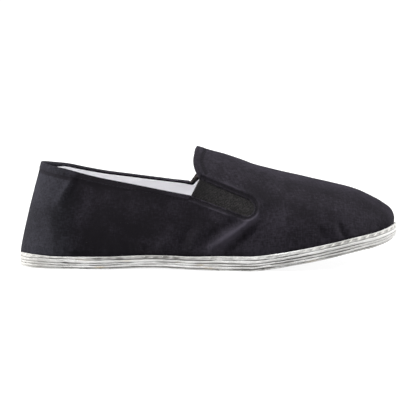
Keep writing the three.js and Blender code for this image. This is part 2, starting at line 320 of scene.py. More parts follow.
# Broad swells and hollows of the soft wall: points (x, z), half width, height
swells = {
    "outer": [
        # the heel stiffener ends in a rounded edge, with slack cloth in front of it
        ([(35, 72), (33, 60), (28, 48), (27, 38), (29, 26), (30, 12)], 9.0, 1.25),
        ([(60, 66), (52, 50), (50, 34), (54, 14)], 11.0, -0.9), ([(92, 52), (96, 40), (104, 26)], 13.0, 0.5),
        # the toe's top drops to its front
        ([(259, 46), (265, 43), (269, 40)], 4.5, -0.9), ([(273, 35), (268, 34)], 3.0, 0.5),
        ([(273, 30.5), (266, 29)], 1.8, -0.6), ([(196, 54), (204, 40), (212, 28)], 12.0, -0.5),
    ],
    "inner": [
        ([(35, 72), (33, 60), (28, 46), (29, 30), (30, 12)], 9.0, 1.1),
        ([(60, 66), (52, 50), (50, 34), (54, 14)], 12.0, -0.8), ([(273, 35), (268, 34)], 3.0, 0.5),
        ([(273, 30.5), (266, 29)], 1.8, -0.6),
    ],
}
# Creases: points (x, z), half width, height (ridges above zero)
creases = {
    "outer": [
        ([(42, 68), (37, 59), (32, 50)], 2.0, 0.8), ([(46, 68), (41, 59), (36, 50)], 2.0, -0.6),
        # long diagonal fold from the front of the elastic down to the sole
        ([(173, 39), (165, 32.5), (157, 26.5), (149, 21), (140, 16)], 2.4, 2.2),
        ([(175, 36), (167, 29), (159, 22), (154, 15)], 3.0, -1.6),
        ([(163, 40), (152, 33), (142, 27), (133, 19)], 3.4, -1.2), ([(158, 24), (160, 15)], 3.4, 0.8),
        ([(151, 23), (151, 14)], 1.8, -0.8),
        # softer folds behind it
        ([(136, 31), (129, 25), (124, 17)], 3.6, 0.8), ([(129, 33), (122, 27), (118, 17)], 3.2, -0.8),
        ([(115, 27), (109, 22), (103, 15)], 4.5, 0.6),
        # small folds where the toe was drawn over its last
        ([(231, 35), (233, 29), (237, 22)], 1.8, -1.15), ([(226, 35), (227, 29), (230, 22)], 2.2, 0.6),
        ([(238, 33), (240, 27), (244, 23)], 2.4, 0.45), ([(216, 32), (219, 27), (223, 20)], 2.2, -0.6),
        ([(209, 31), (211, 25), (214, 18)], 2.6, 0.35), ([(258, 32), (263, 27)], 1.8, -0.5),
        # across the vamp
        ([(197, 57), (192, 50), (190, 42)], 5.0, -0.45), ([(187, 59), (181, 52), (179, 44)], 5.0, 0.35),
    ],
    "inner": [
        # the inner side, as a worn-in shoe of this kind has them
        ([(176, 36), (166, 29), (157, 22), (150, 15)], 3.0, 1.2), ([(181, 33), (172, 26), (164, 16)], 3.0, -1.1),
        ([(168, 40), (157, 32), (146, 22)], 3.2, -0.8), ([(137, 30), (130, 22), (126, 15)], 3.8, 0.6),
        ([(222, 32), (226, 25), (231, 18)], 2.2, -0.7), ([(216, 32), (219, 25), (223, 18)], 2.4, 0.5),
        ([(246, 29), (250, 24)], 2.0, -0.4), ([(197, 57), (192, 50), (190, 42)], 5.0, -0.4),
    ],
}


# Painted highlight (above zero) and painted shade (below zero) on the black, along folds, creases, the heel stiffener's
# edge and the sole joint, with some faded patches: points (x, z), half width, strength
paintedLightAndFades = {
    "outer": [
        ([(50, 67), (46, 57), (41, 44)], 6.5, -0.9), ([(42, 34), (44, 26)], 7.0, -0.4),
        ([(43, 43), (46, 34)], 5.0, 0.6), ([(28, 60), (22, 40), (18, 22)], 9.0, 0.35),
        ([(55, 24), (68, 17), (80, 14)], 12.0, -1.0), ([(67, 54), (70, 48)], 5.0, 0.4),
        ([(84, 52), (90, 46), (97, 43)], 8.0, 0.2), ([(80, 30), (90, 24)], 9.0, -0.6),
        ([(109, 30), (104, 20)], 4.0, 0.3), ([(106, 42), (116, 40)], 6.0, 0.3),
        ([(137, 31), (133, 24), (129, 16)], 4.0, 0.3), ([(92, 30), (112, 14)], 7.0, -0.3),
        ([(122, 20), (121, 14)], 4.0, -0.5), ([(172, 39), (164, 32.5), (156, 26.5), (149, 22)], 2.3, 1.5),
        ([(152, 23), (145, 19), (138, 15)], 4.5, 0.9), ([(168, 30), (160, 22), (156, 16)], 4.0, -0.6),
        ([(150, 36), (142, 31), (137, 38)], 4.0, -0.4), ([(134, 50), (141, 47), (148, 44)], 1.4, 1.3),
        ([(170, 58), (182, 52), (196, 46), (210, 42)], 9.0, -0.8),
        ([(150, 80), (160, 73), (176, 66), (192, 60)], 6.0, -0.45), ([(60, 62), (84, 58), (100, 55)], 7.0, -1.0),
        ([(70, 46), (100, 44), (128, 42)], 11.0, -0.45), ([(62, 36), (96, 32), (130, 30)], 13.0, -0.55),
        ([(130, 46), (150, 44)], 8.0, -0.2), ([(200, 60), (212, 56), (232, 52), (252, 46), (264, 40)], 8.0, -0.65),
        ([(148, 72), (156, 66)], 6.0, -0.3), ([(196, 60), (206, 55), (214, 52)], 6.0, 0.15),
        ([(200, 24), (220, 24), (240, 25)], 7.0, -0.25), ([(236, 40), (246, 38), (256, 36)], 6.0, 0.2),
        ([(228, 46), (226, 38)], 5.0, -0.3), ([(262, 29), (268, 31)], 3.0, -0.4),
        ([(38, 66), (33, 57), (28, 48)], 2.6, 0.5), ([(46, 66), (41, 56), (36, 46)], 2.8, -0.6),
        ([(29, 40), (27, 32), (29, 24)], 4.5, -0.65), ([(231, 33), (233, 29), (236, 25)], 1.5, -0.5),
        ([(40, 11), (100, 10.5), (150, 10.5), (200, 13), (240, 20), (264, 27.5)], 1.2, -1.2),
        ([(217, 32), (220, 26)], 1.8, -0.6), ([(236, 35), (239, 29), (243, 25)], 2.2, 0.4),
    ],
    "inner": [
        ([(46, 69), (41, 58), (37, 48)], 5.0, -0.6), ([(60, 24), (78, 18)], 11.0, -0.7),
        ([(92, 48), (100, 42)], 9.0, 0.5), ([(174, 36), (163, 28), (152, 18)], 3.6, 0.9),
        ([(178, 60), (196, 50)], 9.0, -0.5), ([(210, 30), (230, 26)], 7.0, 0.4),
    ],
}


def findOnSide(side, x, z):
    sweeps = np.linspace(0, math.pi, 361) if side == "outer" else np.linspace(math.pi, fullTurn, 361)
    grid = np.meshgrid(sweeps, np.linspace(0, 1, 81), indexing="ij")
    points = surfacePoint(*grid, 0.0)
    return points[np.unravel_index(((points[..., 0] - x) ** 2 + (points[..., 2] - z) ** 2).argmin(), grid[0].shape)]


def placed(lines):
    return [(np.array([findOnSide(side, x, z) for x, z in path]), width, height)
            for side in lines for path, width, height in lines[side]]


swellLines, creaseLines, paintedLightAndFadeLines = placed(swells), placed(creases), placed(paintedLightAndFades)


def unevenness(points, scale, shift=(0, 0, 0)):
    values = [noise.noise(Vector(p) / scale + Vector(shift)) for p in points.reshape(-1, 3)]
    return np.array(values).reshape(points.shape[:-1])


def nearLine(points, line):  # squared distance to a path, and how far along it
    near = np.full(points.shape[:-1], 1e12)
    place = np.zeros(points.shape[:-1])
    for k in range(len(line) - 1):
        a, ab = line[k], line[k + 1] - line[k]
        held = np.clip((points - a) @ ab / (ab @ ab), 0, 1)
        away = ((points - a - held[..., None] * ab) ** 2).sum(-1)
        place = np.where(away < near, (k + held) / (len(line) - 1), place)
        near = np.minimum(near, away)
    return near, place


# painted highlight and painted shade, with some faded patches, from the list above
def paintedLightAndFading(sweep, share):
    points = surfacePoint(sweep, share, 0.0)
    ragged = np.exp(0.9 * unevenness(points, 9))
    return sum(strength * np.exp(-nearLine(points, line)[0] / width ** 2 * ragged)
               for line, width, strength in paintedLightAndFadeLines)


def relief(sweep, share):
    points = surfacePoint(sweep, share, 0.0)
    total = sum(height * np.exp(-nearLine(points, line)[0] / width ** 2) for line, width, height in swellLines)
    for line, width, height in creaseLines:
        near, place = nearLine(points, line)
        fade = smoothStep(place, -0.05, 0.3) * (1 - 0.35 * smoothStep(place, 0.75, 1.05))
        total += height * np.exp(-near / width ** 2) * fade
    # the cloth's own unevenness
    total += unevenness(points, 34) * 0.75 + unevenness(points, 13, (7, 3, 1)) * 0.22
    # small puckers where the cloth is drawn under at the sole
    girth = share * 90
    total += 0.42 * unevenness(points * (0.3, 0.3, 0.03), 1, (0, 0, 4)) * bell(girth, 9) - 0.5 * bell(girth, 2.2)
    return total * smoothStep(folded(sweep), -0.01, 0.05)


def bmeshGrid(columns, rows):  # a plain grid whose x is the sweep and y the share, both ready to be moved
    bm = bmesh.new()
    bmesh.ops.create_grid(bm, x_segments=columns, y_segments=rows, size=1)
    return bm


def evenSweeps(columns):  # columns evenly spaced along the outline, the same on both sides
    fine = np.linspace(0, math.pi, 4001)
    x, y = outlinePoint(fine)
    travel = np.concatenate([[0], np.cumsum(np.hypot(np.diff(x), np.diff(y)))])
    half = np.interp(np.linspace(0, travel[-1], columns // 2 + 1), travel, fine)
    return np.concatenate([half, fullTurn - half[-2::-1]])


def findCrossing(measure, start, end, rounds):  # where the measure changes sign between two places
    low, high = np.zeros(len(start)), np.ones(len(start))
    startSign = np.sign(measure(start[:, 0], start[:, 1]))
    for _ in range(rounds):
        half = (low + high) / 2
        p = start + (end - start) * half[:, None]
        same = np.sign(measure(p[:, 0], p[:, 1])) == startSign
        low, high = np.where(same, half, low), np.where(same, high, half)
    return low, high


def movePoints(bm, points):  # to places in the shoe's own millimetres
    for v, p in zip(bm.verts, toFrame(points)):
        v.co = p


def joinDoubles(bm, reach=1e-5):
    bmesh.ops.remove_doubles(bm, verts=bm.verts[:], dist=reach)
    bmesh.ops.recalc_face_normals(bm, faces=bm.faces[:])


def storeUv(bm, placeOf):
    layer = bm.loops.layers.uv.new("UVMap")
    for v in bm.verts:
        for loop in v.link_loops:
            loop[layer].uv = placeOf(v)


def parameters(bm):
    flat = np.array([v.co[:2] for v in bm.verts])
    return flat[:, 0], flat[:, 1]


cloth = {
    "columns": 560, "rows": 62,
    "collarHem": 4.0, "slotHem": 2.0, "tongueHem": 6.3, "hemRise": 0.34, "edgeRound": 0.65,
    "thickness": 1.9, "thinShare": 0.45,
    "liningInset": 1.42, "liningThickness": 0.45, "elasticInset": 0.92, "elasticThickness": 0.4,
}


def measured(bm, measure):
    bm.verts.index_update()
    return measure(*parameters(bm))


def cutSheet(measure, refine):
    # the whole last as a flat sheet, cut along the line where measure is zero
    bm = bmeshGrid(cloth["columns"], cloth["rows"])
    sweeps = evenSweeps(cloth["columns"])
    for v in bm.verts:
        v.co.x = sweeps[round((v.co.x + 1) / 2 * cloth["columns"])]
        v.co.y = (v.co.y + 1) / 2
    far = measured(bm, measure)
    bmesh.ops.delete(bm, geom=[v for v in bm.verts if far[v.index] < -9], context="VERTS")
    for band in refine:
        far = np.abs(measured(bm, measure))
        edges = [e for e in bm.edges if min(far[e.verts[0].index], far[e.verts[1].index]) < band]
        bmesh.ops.subdivide_edges(bm, edges=edges, cuts=1, use_grid_fill=True)
    far = measured(bm, measure)
    crossing = [e for e in bm.edges if far[e.verts[0].index] * far[e.verts[1].index] < 0]
    start = np.array([e.verts[0].co[:2] for e in crossing])
    end = np.array([e.verts[1].co[:2] for e in crossing])
    low, high = findCrossing(measure, start, end, 14)
    added = []
    for edge, share in zip(crossing, (low + high) / 2):
        added.append(bmesh.utils.edge_split(edge, edge.verts[0], float(min(max(share, 0.02), 0.98)))[1])
    bmesh.ops.connect_verts(bm, verts=added)
    onLine = set(added)
    far = measured(bm, measure)
    outside = [f for f in bm.faces if np.mean([0 if v in onLine else far[v.index] for v in f.verts]) < 0]
    bmesh.ops.delete(bm, geom=outside, context="FACES")
    return bm


def closeSheet(bm, sweep):  # heel seam and front crest
    seamLayer = bm.verts.layers.int.new("heelSeam")
    for v, s in zip(bm.verts, sweep):
        v[seamLayer] = int(s < 1e-6 or s > fullTurn - 1e-6)
    joinDoubles(bm, 2e-5)
    for e in bm.edges:
        e.seam = bool(e.verts[0][seamLayer] and e.verts[1][seamLayer])


def storeValue(bm, name, values):
    layer = bm.verts.layers.float.new(name)
    for v, value in zip(bm.verts, values):
        v[layer] = float(value)


def makePiece(name, bm, material, replaced=()):
    mesh = bpy.data.meshes.new(name)
    bm.to_mesh(mesh)
    bm.free()
    piece = bpy.data.objects.new(name, mesh)
    bpy.context.scene.collection.objects.link(piece)
    mesh.materials.append(material)
    mesh.polygons.foreach_set("use_smooth", [True] * len(mesh.polygons))
    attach(piece, "root")
    if replaced:
        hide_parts(*replaced)
    print(name, len(mesh.polygons), "faces")
    return piece


def unrollCloth(piece):  # lay the cloth flat for its weave, one unit to the metre
    bpy.context.view_layer.objects.active = piece
    piece.select_set(True)
    bpy.ops.object.mode_set(mode="EDIT")
    bpy.ops.mesh.select_all(action="SELECT")
    bpy.ops.uv.unwrap(method="CONFORMAL", margin=0.0)
    bpy.ops.object.mode_set(mode="OBJECT")
    piece.select_set(False)
    mesh = piece.data
    uv = np.zeros(len(mesh.loops) * 2)
    mesh.uv_layers.active.data.foreach_get("uv", uv)
    uv = uv.reshape(-1, 2)
    flatArea = 0.0
    for p in mesh.polygons:
        corner = uv[p.loop_start:p.loop_start + p.loop_total]
        following = np.roll(corner, -1, axis=0)
        flatArea += abs((corner[:, 0] * following[:, 1] - following[:, 0] * corner[:, 1]).sum()) / 2
    scale = math.sqrt(sum(p.area for p in mesh.polygons) / max(flatArea, 1e-12))
    mesh.uv_layers.active.data.foreach_set("uv", (uv * scale).ravel())


def thicken(piece, thickness, thinShare=None):
    wall = piece.modifiers.new("wall", "SOLIDIFY")
    wall.thickness = thickness / 1000
    wall.offset = -1
    if thinShare is not None:
        group = piece.vertex_groups.new(name="hem")
        weights = np.zeros(len(piece.data.vertices))
        piece.data.attributes["hemWeight"].data.foreach_get("value", weights)
        for index, weight in enumerate(weights):
            group.add([index], float(weight), "REPLACE")
        wall.vertex_group = "hem"
        wall.thickness_vertex_group = thinShare


class Field:  # one value of a shader, so that its maths reads as plain sums
    def __init__(self, socket):
        self.socket = socket
        self.tree = socket.id_data

    def joined(self, operation, *others):
        node = addNode(self.tree, "ShaderNodeMath", dict(enumerate((self, *others))), operation=operation)
        return Field(node.outputs[0])

    def __add__(self, other):
        return self.joined("ADD", other)

    def __sub__(self, other):
        return self.joined("SUBTRACT", other)

    def __mul__(self, other):
        return self.joined("MULTIPLY", other)

    def __rtruediv__(self, number):
        node = addNode(self.tree, "ShaderNodeMath", {0: number, 1: self}, operation="DIVIDE")
        return Field(node.outputs[0])


def feed(socket, value):
    if isinstance(value, Field):
        value.tree.links.new(value.socket, socket)
    else:
        socket.default_value = value


def addNode(tree, kind, inputs=(), **settings):  # a node with its settings and inputs in one call
    node = tree.nodes.new(kind)
    for key, value in settings.items():
        setattr(node, key, value)
    for key, value in dict(inputs).items():
        feed(node.inputs[key], value)
    return node


def sine(value):
    return value.joined("SINE")


def ramp(value, low, high):
    node = addNode(value.tree, "ShaderNodeMapRange", {0: value, 1: low, 2: high}, interpolation_type="SMOOTHSTEP")
    return Field(node.outputs[0])


def mixColour(share, first, second, blend="MIX"):
    node = addNode(share.tree, "ShaderNodeMix", {0: share}, data_type="RGBA", blend_type=blend)
    feed(node.inputs[6], first)
    feed(node.inputs[7], second)
    return Field(node.outputs[2])


def stored(tree, name):  # a value kept in the mesh
    return Field(addNode(tree, "ShaderNodeAttribute", attribute_name=name).outputs["Fac"])


def noiseAt(place, scale, detail, roughness=0.5, output="Fac"):
    values = {"Vector": place, "Scale": scale, "Detail": detail, "Roughness": roughness}
    return Field(addNode(place.tree, "ShaderNodeTexNoise", values).outputs[output])


def vectorMaths(operation, first, second):
    return Field(addNode(first.tree, "ShaderNodeVectorMath", {0: first, 1: second}, operation=operation).outputs[0])


def wandered(place, scale, detail, reach):  # a place moved to and fro by soft noise
    offset = vectorMaths("MULTIPLY", noiseAt(place, scale, detail, output="Color"), reach)
    return vectorMaths("ADD", place, offset)


def split(place):
    return [Field(socket) for socket in addNode(place.tree, "ShaderNodeSeparateXYZ", {0: place}).outputs]


def bump(height, strength, distance, under=None):
    node = addNode(height.tree, "ShaderNodeBump", {"Strength": strength, "Distance": distance, "Height": height})
    if under:
        feed(node.inputs["Normal"], under)
    return Field(node.outputs[0])


def newGroup(name, numbers, results):  # a group that takes a place and some numbers
    group = bpy.data.node_groups.new(name, "ShaderNodeTree")
    group.interface.new_socket("Vector", in_out="INPUT", socket_type="NodeSocketVector")
    for label, value in numbers.items():
        group.interface.new_socket(label, in_out="INPUT", socket_type="NodeSocketFloat").default_value = value
    for label in results:
        group.interface.new_socket(label, in_out="OUTPUT", socket_type="NodeSocketFloat")
    given = {socket.name: Field(socket) for socket in group.nodes.new("NodeGroupInput").outputs}
    return group, given, group.nodes.new("NodeGroupOutput").inputs


def useGroup(group, place, **numbers):
    node = addNode(place.tree, "ShaderNodeGroup", node_tree=group)
    for label, value in {"Vector": place, **numbers}.items():
        feed(node.inputs[label], value)
    return {socket.name: Field(socket) for socket in node.outputs}


def weaveGroup():
    numbers = {"Pitch": 0.0005, "Twill": 0.0, "SlubLength": 0.006}
    group, given, result = newGroup("wovenThreads", numbers, ["Height", "Slub"])
    rate = fullTurn / given["Pitch"]
    across, along = (part * rate for part in split(wandered(given["Vector"], 60, 2, (0.0009, 0.0009, 0)))[:2])
    plain = sine(across) * sine(along)
    ribbed = sine(across + along) + sine(along * 2) * 0.35
    mixed = addNode(group, "ShaderNodeMix", {0: given["Twill"], 2: plain, 3: ribbed}, data_type="FLOAT")
    # slubs are thicker stretches of single threads, one way and the other
    slubRate = 1 / given["SlubLength"]
    thickWarp, thickWeft = (noiseAt(vectorMaths("MULTIPLY", given["Vector"], stretch), slubRate, 3)
                            for stretch in ((1, 11, 1), (11, 1, 1)))
    slub = (thickWarp + thickWeft) * 0.5
    feed(result["Height"], Field(mixed.outputs[0]) * 0.5 + slub * 1.6)
    feed(result["Slub"], slub)
    return group


def lintGroup():
    group, given, result = newGroup("strayLint", {"Amount": 0.5}, ["Mask"])
    place = wandered(given["Vector"], 220, 2, (0.004, 0.004, 0.004))
    spots = addNode(group, "ShaderNodeTexVoronoi", {"Vector": place, "Scale": 150, "Randomness": 1})
    feed(result["Mask"], ramp(Field(spots.outputs["Distance"]), 0.075, 0.03) * given["Amount"])
    return group


wovenThreads = weaveGroup()
strayLint = lintGroup()


def startMaterial(name):  # the material, its nodes and the place on the object
    material = bpy.data.materials.new(name)
    material.use_nodes = True
    tree = material.node_tree
    return material, tree, Field(addNode(tree, "ShaderNodeTexCoord").outputs["Object"])


def clothUv(tree):
    return Field(addNode(tree, "ShaderNodeUVMap", uv_map="UVMap").outputs[0])


def finishMaterial(material, colour, normal, roughness, specular, sheen=0.0, sheenRoughness=0.5):
    shader = material.node_tree.nodes["Principled BSDF"]
    values = {"Base Color": colour, "Normal": normal, "Roughness": roughness, "Specular IOR Level": specular,
              "Sheen Weight": sheen, "Sheen Roughness": sheenRoughness}
    for label, value in values.items():
        if value is not None:
            feed(shader.inputs[label], value)
    return material


blackCotton = {
    "deep": (0.0062, 0.0054, 0.0072, 1), "fadedAndPaintedLight": (0.0275, 0.0243, 0.0326, 1),
    "ridgeHighlight": (0.046, 0.0415, 0.052, 1), "edge": (0.03, 0.029, 0.032, 1), "lint": (0.16, 0.15, 0.15, 1),
    "heelTint": (0.93, 1.03, 0.99, 1), "sheenTint": (0.58, 0.54, 0.72, 1),
    "threadPitch": 0.00062, "weaveDepth": 0.00007, "roughness": 0.62, "sheen": 0.015,
}


def blackCottonMaterial():
    material, tree, place = startMaterial("blackCottonDrill")
    weave = useGroup(wovenThreads, clothUv(tree), Pitch=blackCotton["threadPitch"], Twill=1, SlubLength=0.007)
    broad = noiseAt(place, 34, 5, 0.6)
    fine = noiseAt(place, 520, 3, 0.65)
    edge = stored(tree, "edgeDistance")
    # the lighter colour comes in by noise and by the fade attribute, which holds painted highlight above zero and
    # painted shade below zero
    fadedAndPaintedLight = ramp(weave["Slub"] * 1.5 + (broad - 0.8) + stored(tree, "fade") * 0.42 + fine * 1.1, 0.45, 1.8)
    colour = mixColour(fadedAndPaintedLight, blackCotton["deep"], blackCotton["fadedAndPaintedLight"])
    # the heel's cloth is a little bluer
    colour = mixColour(ramp(split(place)[0], -0.088, -0.106), colour, blackCotton["heelTint"], "MULTIPLY")
    colour = mixColour(useGroup(strayLint, place, Amount=0.1)["Mask"], colour, blackCotton["lint"])
    # painted highlight: a lighter line just inside the cloth's cut edges
    colour = mixColour(ramp(edge, 0.9, 0.2) * (fine * 0.45), colour, blackCotton["edge"])
    # the hem's row of stitches pulls a fine groove, and painted shade darkens the black along it
    seam = ramp(stored(tree, "seamDistance"), 1.2, 0.5)
    colour = mixColour(seam * 0.75, colour, blackCotton["deep"])
    slotHem = stored(tree, "slotHem")
    # painted shade on the hem next to the slot's edge, and a painted highlight along the hem's ridge
    colour = mixColour(slotHem * ramp(edge, 3.2, 2.4) * (fine * -3.4 + 2.25), colour, blackCotton["deep"])
    paintedRidgeHighlight = slotHem * ramp((edge - 3.9).joined("ABSOLUTE"), 0.7, 0.1) * ramp(broad, 0.46, 0.62)
    colour = mixColour(paintedRidgeHighlight * 0.45, colour, blackCotton["ridgeHighlight"])
    slack = bump(noiseAt(place, 62, 4, 0.55), 0.6, 0.0009)
    normal = bump(weave["Height"] + fine * 1.3 + seam * -1.2, 0.75, blackCotton["weaveDepth"], slack)
    feed(tree.nodes["Principled BSDF"].inputs["Sheen Tint"], blackCotton["sheenTint"])
    roughness = weave["Slub"] * 0.2 + blackCotton["roughness"]
    return finishMaterial(material, colour, normal, roughness, 0.04, blackCotton["sheen"], 0.45)


# the mouth colour is painted light on the knit by the slot's mouth
elastic = {
    "deep": (0.007, 0.0066, 0.0070, 1), "raised": (0.0335, 0.0314, 0.0319, 1), "mouth": (0.115, 0.098, 0.09, 1),
    "ribPitch": 0.0013, "depth": 0.00022, "sheen": 0.015,
}


def elasticMaterial():
    material, tree, place = startMaterial("blackElasticRib")
    along, across = split(wandered(clothUv(tree), 300, 1, (0.0004, 0.0004, 0)))[:2]
    rate = fullTurn / elastic["ribPitch"]
    # small knit loops lean to and fro from rib to rib
    loops = sine(along * (rate * 1.15) + (across * rate).joined("COSINE") * 1.2)
    height = loops * 0.55 + sine(across * rate) * 0.6
    noisy = noiseAt(place, 600, 3)
    raised = ramp(noiseAt(place, 1050, 3, 0.8) * 3.2 + noisy * 1.6 + height * 0.12, 1.9, 3.2)
    # painted light: the knit by the mouth is lighter, more so on the inner side's strap
    mouthPaintedLight = ramp(stored(tree, "mouthDepth"), 3.2, 2.0) * (raised * 0.7 + 0.3)
    # painted shade: the knit darkens towards the mouth, under the slot's edge
    raised = raised * (ramp(along, 0, 0.03) * 0.55 + 0.3)
    colour = mixColour(mouthPaintedLight, mixColour(raised, elastic["deep"], elastic["raised"]), elastic["mouth"])
    normal = bump(noisy * 0.6 + height, 0.9, elastic["depth"])
    return finishMaterial(material, colour, normal, noisy * 0.2 + 0.66, 0.05, elastic["sheen"], 0.4)


# the lining is nearly clean, the insole greyed by wear
whiteCloth = {
    "lining": {"clean": (0.95, 0.95, 0.975, 1), "soiled": (0.74, 0.73, 0.75, 1), "pitch": 0.0006, "soil": 0.1},
    "insole": {"clean": (0.80, 0.79, 0.80, 1), "soiled": (0.55, 0.53, 0.50, 1), "pitch": 0.0009, "soil": 0.5},
}


def whiteClothMaterial(name, values):
    material, tree, place = startMaterial(name)
    weave = useGroup(wovenThreads, clothUv(tree), Pitch=values["pitch"], Twill=0, SlubLength=0.006)
    soil = ramp(weave["Slub"] * 0.5 + noiseAt(place, 40, 6, 0.65), 0.6, 1.05) * values["soil"]
    colour = mixColour(soil, values["clean"], values["soiled"])
    return finishMaterial(material, colour, bump(weave["Height"], 0.7, 0.00009), weave["Slub"] * 0.2 + 0.78, 0.25, 0.1)


thread = {
    "black": {"colour": (0.0055, 0.005, 0.0064, 1), "twist": (0.013, 0.0115, 0.015, 1), "specular": 0.04},
    "white": {"colour": (0.66, 0.65, 0.62, 1), "twist": (0.50, 0.49, 0.45, 1), "specular": 0.2},
}


def threadMaterial(name, values):
    material, _, place = startMaterial(name)
    twist = noiseAt(place, 2400, 2)
    colour = mixColour(twist, values["colour"], values["twist"])
    return finishMaterial(material, colour, bump(twist, 0.6, 0.00006), twist * 0.25 + 0.45, values["specular"])


# Sole cloth: pressed plies, with painted shade and grime in the gaps, painted shade in the dents under the stitches,
# and a few stains
soleCloth = {
    "clean": (0.71, 0.708, 0.70, 1), "grey": (0.235, 0.228, 0.212, 1),
    "gap": (0.045, 0.041, 0.035, 1), "stain": (0.46, 0.36, 0.22, 1),
    "threadPitch": 0.0007, "depth": 0.00016,
}


def soleMaterial(name, plyCount, soil):
    material, tree, place = startMaterial(name)
    uv = clothUv(tree)
    drift = noiseAt(vectorMaths("MULTIPLY", uv, (1, 0.0022, 1)), 130, 4, 0.6)
    ply = sine((drift * 0.55 + split(uv)[1]) * (fullTurn * plyCount))
    plyLine = ramp(ply, -0.72, -0.99) * ramp(noiseAt(place, 95, 3), 0.42, 0.6) * stored(tree, "crisp")
    cloud = noiseAt(place, 55, 6, 0.7)
    speck = noiseAt(place, 900, 3)
    dirt = stored(tree, "dirt")
    soiling = ramp(speck * 0.35 + cloud, 0.52, 0.92) * soil
    smear = dirt * ramp(speck * 0.3 + cloud, 0.45, 0.8)
    soiling = soiling.joined("MAXIMUM", dirt * 0.7 + smear * 0.3)
    colour = mixColour(soiling, soleCloth["clean"], soleCloth["grey"])
    colour = mixColour(plyLine * 0.62, colour, soleCloth["grey"])
    # painted shade in the rim's dents
    colour = mixColour(stored(tree, "dent") * 0.75, colour, soleCloth["grey"])
    # painted shade with grime in the gaps between plies, and the rim's dark spots
    colour = mixColour(stored(tree, "gap"), colour, soleCloth["gap"])
    colour = mixColour(stored(tree, "stain") * ramp(speck, 0.25, 0.6), colour, soleCloth["stain"])
    weave = useGroup(wovenThreads, place, Pitch=soleCloth["threadPitch"], Twill=0, SlubLength=0.005)
    normal = bump(plyLine * -2.2 + speck + weave["Height"], 0.8, soleCloth["depth"])
    return finishMaterial(material, colour, normal, speck * 0.15 + 0.78, 0.25)


blackCloth = blackCottonMaterial()
elasticKnit = elasticMaterial()
liningCloth = whiteClothMaterial("whiteLiningCotton", whiteCloth["lining"])
insoleCloth = whiteClothMaterial("whiteInsoleCotton", whiteCloth["insole"])
blackThread = threadMaterial("blackSewingThread", thread["black"])
soledThread = threadMaterial("whiteSoleThread", thread["white"])
print("materials made")


# The black upper
def sheetPlace(bm, inset, extra):
    sweep, share = parameters(bm)
    lift = extra(sweep, share) + relief(sweep, share)
    lift = np.where(share < 1e-9, lift * 0.4, lift)
    normal = surfaceNormal(sweep, share)
    points = surfacePoint(sweep, share, inset) + normal * lift[:, None]
    points[:, 2] -= 0.35 * bell(share * 90, 1.5)
    movePoints(bm, points)


def aboveCorner(side, x, z):
    cornerX, cornerZ = mouthCorners(side)[1]
    return smoothStep(z - cornerZ - 0.2 * (x - cornerX), 0, 4)


def hemParts(sweep, share, distance, bridged):
    # 1 beside the slots, the offset of the seam from its edge, and how far the place is from that seam
    besideSlot = smoothStep(slotDistance(sweep, share), -0.4, 1.0)
    onTongue = onSides(sweep, share, aboveCorner)
    seamAt = cloth["collarHem"] + (cloth["tongueHem"] - cloth["collarHem"]) * onTongue
    away = np.abs(bridged - seamAt) / (1 + 0.55 * onTongue)
    away = np.minimum(np.where(besideSlot > 0.05, np.abs(distance - cloth["slotHem"]), 9), away)
    return besideSlot, seamAt, away


def hemLift(distance, besideSlot, seamAt, away):
    raised = cloth["hemRise"] * (1 - smoothStep(distance, seamAt + 0.3, seamAt + 1.4))
    raised = raised - besideSlot * (0.62 * (1 - smoothStep(distance, 0.3, 3.3)) - 0.2 * bell(distance - 3.9, 0.75))
    groove = 0.4 * bell(away, 0.65) - 0.12 * bell(distance - seamAt - 1.1, 0.7)
    r = cloth["edgeRound"]
    near = np.clip(r - distance, 0, r)
    return raised - groove - (r - np.sqrt(np.maximum(r * r - near * near, 0)))


bm = cutSheet(cutDistance, (7.6, 1.2))
sweep, share = parameters(bm)
distance = cutDistance(sweep, share)
bridged = bridgedDistance(sweep, share)
besideSlot, seamAt, away = hemParts(sweep, share, distance, bridged)
sheetPlace(bm, 0.0, lambda a, b: hemLift(np.maximum(distance, 0), besideSlot, seamAt, away))
storeValue(bm, "slotHem", besideSlot)
storeValue(bm, "seamDistance", away)
storeValue(bm, "edgeDistance", np.maximum(distance, 0))
# the fade attribute holds painted highlight and painted shade, with some faded patches
storeValue(bm, "fade", paintedLightAndFading(sweep, share))
# the hem is thinner, for a wider strip at the heel
heelStrip = 4.6 * (1 - smoothStep(folded(sweep), 0.32, 0.66))
storeValue(bm, "hemWeight", 1 - smoothStep(np.maximum(bridged, 0) - heelStrip, 1.6, 2.4))
closeSheet(bm, sweep)
upperTree = BVHTree.FromBMesh(bm)
upper = makePiece("blackUpper", bm, blackCloth, ["upper"])
unrollCloth(upper)
thicken(upper, cloth["thickness"], cloth["thinShare"])


# The white lining stops short of the edge, so the black cloth shows turned over inside
def liningEdge(sweep, share):
    return bridgedDistance(sweep, share, 2.7) - 1.75 - 3.4 * (1 - smoothStep(folded(sweep), 0.13, 0.6))


bm = cutSheet(liningEdge, ())
sweep, share = parameters(bm)
sheetPlace(bm, cloth["liningInset"], lambda a, b: 0 * a)
closeSheet(bm, sweep)
lining = makePiece("whiteLining", bm, liningCloth)
unrollCloth(lining)
thicken(lining, cloth["liningThickness"])


